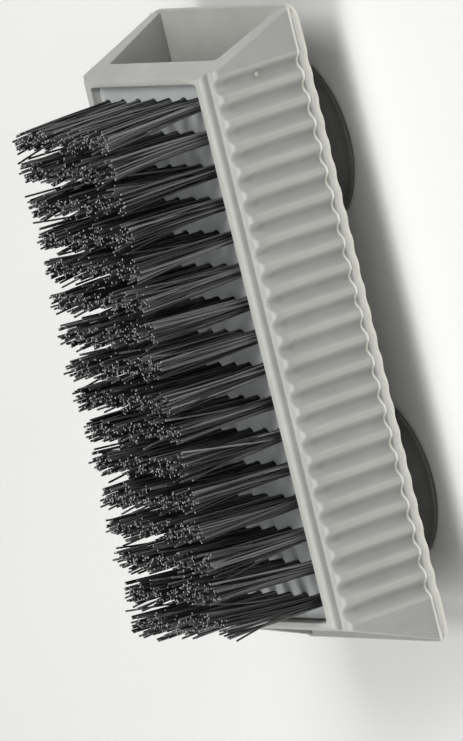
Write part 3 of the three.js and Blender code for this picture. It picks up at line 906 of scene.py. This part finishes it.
back_edge = [(BACK_PALE_EDGE, back_low.z)]
back_edge += arc((BACK_EDGE, back_low.z + BACK_EDGE), BACK_EDGE, 270, 180, 3)
back_edge += arc((BACK_EDGE, back_top - BACK_EDGE), BACK_EDGE, 180, 90, 3)
back_edge += [(BACK_PALE_EDGE, back_top), (SEAM_INSET, back_top)]
back_rings = [back_ring(inset, z) for inset, z in back_edge]

# The plate's edge takes the waves along its sides, and painted shade lies before the hollows of the flutes.
edge_row = []
grime_row = []
for x, y, _ in back_rings[1]:
    edge_row.append(min(max((abs(y) - back_half_width) / BACK_PALE_EDGE + 2.0, 0.0), 1.0))
    in_hollow = math.sin(math.pi * (x / FLUTE_PITCH + FLUTE_COUNT / 2)) ** 2
    grime_row.append(SEAM_SHADE * in_hollow if abs(x) < flute_end else 0.0)
flat_row = [0.0] * len(edge_row)
back_fluted = [flat_row] + [edge_row] * (len(back_rings) - 3) + [flat_row] * 2
back_grime = [flat_row] * (len(back_rings) - 2) + [grime_row, flat_row]
back_plate = stack_rings("back_plate_moulding", back_rings, fluted=back_fluted, grime=back_grime)

# The mould left a small nub on the near edge, by the far end.
nub_place = (NUB_END_SETBACK - back_half_length, NUB_SIDE_SETBACK - back_half_width, back_top)
join_into(back_plate, moulding_mark(nub_place, (0.0, -0.6, 0.8), NUB_PROFILE))

# The edge is painted pale above and below as painted highlights.
back_plastic = moulded_plastic("grey_moulded_polypropylene_back", "#b0b0ab", "#b9b9b4", "#f3f1e6", [
    ("fluted", 0.62, back_top - 0.3 * MM, back_top - 0.05 * MM),
    ("fluted", 0.38, back_low.z + 0.3 * MM, back_low.z + 0.6 * MM),
])
back_waves = {**flute_sizes, "Depth": BACK_WAVE, "Scoop depth": 0.0, "Finish": back_plastic}
grow(back_plate, flutes, flute_inputs, back_waves)
grow(back_plate, holes, hole_inputs, {
    "Rows": 2,
    "Columns": 1,
    "Row pitch": 2 * cup_centre,
    "Column pitch": 0.0,
    "Radius": CUP_HOLE_RADIUS,
    "Sides": CUP_HOLE_SIDES,
    "Depth": 2 * BACK_THICKNESS,
    "Plate top": back_top,
    "Finish": back_plastic,
})
settle(back_plate)

# Two ribs on the plate find their place between the shell's walls before the weld is made.
locator_outer = cavity_half_width - LOCATOR_CLEARANCE
locator_foot = back_low.z + BACK_THICKNESS / 2
locator_round_height = back_top + LOCATOR_HEIGHT - LOCATOR_ROUND
locator_half_length = back_half_length - LOCATOR_SETBACK
half = LOCATOR_WIDTH / 2
for side in (-1, 1):
    middle_y = side * (locator_outer - half)
    section = [(middle_y - half, locator_foot), (middle_y + half, locator_foot)]
    section += arc((middle_y + half - LOCATOR_ROUND, locator_round_height), LOCATOR_ROUND, 0, 90)
    section += arc((middle_y - half + LOCATOR_ROUND, locator_round_height), LOCATOR_ROUND, 90, 180)
    rib_rings = [[(x, y, z) for y, z in section] for x in (-locator_half_length, locator_half_length)]
    rib = stack_rings("locating_rib", rib_rings)
    rib.data.set_sharp_from_angle(angle=math.radians(40))
    join_into(back_plate, rib)
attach(back_plate, "brush")
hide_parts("back_plate")

# Suction cups
# Soft black rubber, each cup moulded in one: a thin hollow skirt that grips the basin, a hub under the back
# plate, and a neck and head pushed through the hole in the plate, on which the cup can turn.
CUP_SIDES = 80
CUP_RADIUS = 13.7 * MM
CUP_HOLLOW = 3.4 * MM
CUP_LIP_WIDTH = 1.0 * MM
CUP_LIP_THICKNESS = 0.7 * MM
CUP_LIP_ROUND = 0.3 * MM
CUP_SKIRT_THICKNESS = 1.9 * MM
CUP_HUB_RADIUS = 4.6 * MM
CUP_HUB_FILLET = 0.8 * MM
CUP_NECK_RADIUS = 3.0 * MM
CUP_HEAD_RADIUS = 4.4 * MM
CUP_HEAD_TIP_RADIUS = 2.4 * MM
CUP_HEAD_HEIGHT = 3.0 * MM
CUP_EDGE_ROUND = 0.35 * MM
SWIVEL_CLEARANCE = 0.2 * MM
SKIRT_STEPS = 14
BLOOM_SIZE = 4.0 * MM
PORE_SIZE = 0.3 * MM
PORE_DEPTH = 0.05 * MM


def cup_profile():
    """Radius and height round the cup's section, from the middle of its hollow to the top of its head."""
    hollow_radius = CUP_RADIUS - CUP_LIP_WIDTH
    hub_top = back_low.z - SWIVEL_CLEARANCE
    head_bottom = back_top + SWIVEL_CLEARANCE
    head_top = head_bottom + CUP_HEAD_HEIGHT
    edge = CUP_EDGE_ROUND
    profile = []
    for step in range(1, 2 * SKIRT_STEPS + 1):
        radius = hollow_radius * step / (2 * SKIRT_STEPS)
        profile.append((radius, CUP_HOLLOW * (1 - (radius / hollow_radius) ** 2)))
    lip_middle = CUP_RADIUS - CUP_LIP_ROUND
    profile += arc((lip_middle, CUP_LIP_ROUND), CUP_LIP_ROUND, 270, 360)
    profile += arc((lip_middle, CUP_LIP_THICKNESS - CUP_LIP_ROUND), CUP_LIP_ROUND, 0, 90)
    skirt_end = CUP_HUB_RADIUS + CUP_HUB_FILLET
    for step in range(SKIRT_STEPS + 1):
        share = step / SKIRT_STEPS
        radius = hollow_radius + (skirt_end - hollow_radius) * share
        thickness = CUP_LIP_THICKNESS + (CUP_SKIRT_THICKNESS - CUP_LIP_THICKNESS) * share
        profile.append((radius, CUP_HOLLOW * (1 - (radius / hollow_radius) ** 2) + thickness))
    foot = profile[-1][1] + CUP_HUB_FILLET
    profile += arc((skirt_end, foot), CUP_HUB_FILLET, 255, 180)
    profile += arc((CUP_HUB_RADIUS - edge, hub_top - edge), edge, 0, 90)
    profile += [(CUP_NECK_RADIUS, hub_top), (CUP_NECK_RADIUS, head_bottom)]
    profile += arc((CUP_HEAD_RADIUS - edge, head_bottom + edge), edge, 270, 380)
    profile += arc((CUP_HEAD_TIP_RADIUS - edge, head_top - edge), edge, 20, 90)
    return profile + [(CUP_HEAD_TIP_RADIUS / 4, head_top)]


# Moulded rubber is matt and finely pored, with a cloudy grey bloom. The pores are drawn coarser than real
# ones so that they show.
rubber, tree, shader = new_material("moulded_black_rubber", IOR=1.52)
place = tree.nodes.new("ShaderNodeTexCoord").outputs["Object"]
bloom = wire(tree, "ShaderNodeTexNoise", place, 1 / BLOOM_SIZE, 4.0, 0.6)
bloom_share = wire(tree, "ShaderNodeMapRange", bloom, 0.35, 0.7, 0.0, 1.0)
rubber_colour = wire(
    tree, "ShaderNodeMix", bloom_share, srgb("#696969"), srgb("#747473"), data_type="RGBA"
)
tree.links.new(rubber_colour, shader.inputs["Base Color"])
rubber_gloss = wire(tree, "ShaderNodeMapRange", bloom, 0.3, 0.7, 0.55, 0.72)
tree.links.new(rubber_gloss, shader.inputs["Roughness"])
pores = wire(tree, "ShaderNodeTexNoise", place, 1 / PORE_SIZE, 2.0, 0.5)
rubber_bump = wire(tree, "ShaderNodeBump", 0.15, PORE_DEPTH)
tree.links.new(pores, rubber_bump.node.inputs["Height"])
tree.links.new(rubber_bump, shader.inputs["Normal"])

turns = [math.tau * side / CUP_SIDES for side in range(CUP_SIDES)]
for cup_body, centre_x in (("cup_a", cup_centre), ("cup_b", -cup_centre)):
    rings = []
    for radius, height in cup_profile():
        rings.append([(centre_x + radius * math.cos(t), radius * math.sin(t), height) for t in turns])
    cup = stack_rings(f"rubber_{cup_body}", rings)
    cup.data.set_sharp_from_angle(angle=math.radians(50))
    cup.data.materials.append(rubber)
    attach(cup, cup_body)
    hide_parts(f"suction_{cup_body}")

# Floor, lights and camera
# A pale sheet of paper under four soft boxes: one above each end, one straight overhead, and a weak fill
# from the side that faces the camera.
FLOOR_REACH = 6.0
FLOOR_BOTTOM = -10.0 * MM
FLOOR_TOP = -0.05 * MM
FIBRE_SIZE = 30.0 * MM
LAMP_DISTANCE = 1.0
LAMP_SIZE = 0.5
floor_corners = [(FLOOR_REACH * x, FLOOR_REACH * y) for x, y in ((-1, -1), (1, -1), (1, 1), (-1, 1))]
floor_rings = [[(x, y, z) for x, y in floor_corners] for z in (FLOOR_BOTTOM, FLOOR_TOP)]
floor = stack_rings("floor", floor_rings)
floor_paper, tree, shader = new_material("matt_white_paper", Roughness=0.9)
place = tree.nodes.new("ShaderNodeTexCoord").outputs["Object"]
fibre = wire(tree, "ShaderNodeTexNoise", place, 1 / FIBRE_SIZE, 2.0)
paper_colour = wire(tree, "ShaderNodeMix", fibre, srgb("#ececea"), srgb("#f0f0ee"), data_type="RGBA")
tree.links.new(paper_colour, shader.inputs["Base Color"])
floor.data.materials.append(floor_paper)

world = bpy.data.worlds.new("soft_grey_studio")
world.use_nodes = True
background = world.node_tree.nodes["Background"]
background.inputs["Color"].default_value = srgb("#ffffff")
background.inputs["Strength"].default_value = 0.05
bpy.context.scene.world = world


def soft_lamp(name, direction, power):
    """A square soft box that faces the brush, with its power in watts."""
    lamp = bpy.data.lights.new(name, "AREA")
    lamp.shape = "SQUARE"
    lamp.size = LAMP_SIZE
    lamp.energy = power
    aim = Vector(direction).normalized()
    facing = aim.to_track_quat("Z", "Y").to_matrix().to_4x4()
    place_in_scene(name, lamp).matrix_world = Matrix.Translation(aim * LAMP_DISTANCE) @ facing


soft_lamp("open_end_softbox", (0.6, -0.25, 0.76), 5.5)
soft_lamp("far_end_softbox", (-0.7, -0.1, 0.7), 4.4)
soft_lamp("overhead_softbox", (0.0, 0.0, 1.0), 2.9)
soft_lamp("near_side_fill", (0.0, -0.8, 0.6), 1.0)

# The camera looks from where the photograph was taken, with the brush's long way turned upright.
VIEW_AZIMUTH = math.radians(10.1)
VIEW_ELEVATION = math.radians(30.46)
VIEW_ROLL = math.radians(108.97)
VIEW_DISTANCE = 1.75375
VIEW_SHIFT = (3.445 * MM, -2.273 * MM)
FOCAL_LENGTH = 583.0
SENSOR_WIDTH = 36.0
towards_camera = Vector((
    math.sin(VIEW_AZIMUTH) * math.cos(VIEW_ELEVATION),
    -math.cos(VIEW_AZIMUTH) * math.cos(VIEW_ELEVATION),
    math.sin(VIEW_ELEVATION),
))
level = Vector((math.cos(VIEW_AZIMUTH), math.sin(VIEW_AZIMUTH), 0.0))
upright = towards_camera.cross(level)
camera_up = upright * math.cos(VIEW_ROLL) + level * math.sin(VIEW_ROLL)
camera_right = level * math.cos(VIEW_ROLL) - upright * math.sin(VIEW_ROLL)
camera_place = Vector((0.0, 0.0, rim_top)) + towards_camera * VIEW_DISTANCE
camera_place += camera_right * VIEW_SHIFT[0] + camera_up * VIEW_SHIFT[1]
lens = bpy.data.cameras.new("photo_camera")
lens.lens = FOCAL_LENGTH
lens.sensor_width = SENSOR_WIDTH
lens.clip_end = 20.0
camera = place_in_scene("photo_camera", lens)
turned = Matrix((camera_right, camera_up, towards_camera)).transposed().to_4x4()
camera.matrix_world = Matrix.Translation(camera_place) @ turned
bpy.context.scene.camera = camera
bpy.context.scene.view_settings.view_transform = "Standard"
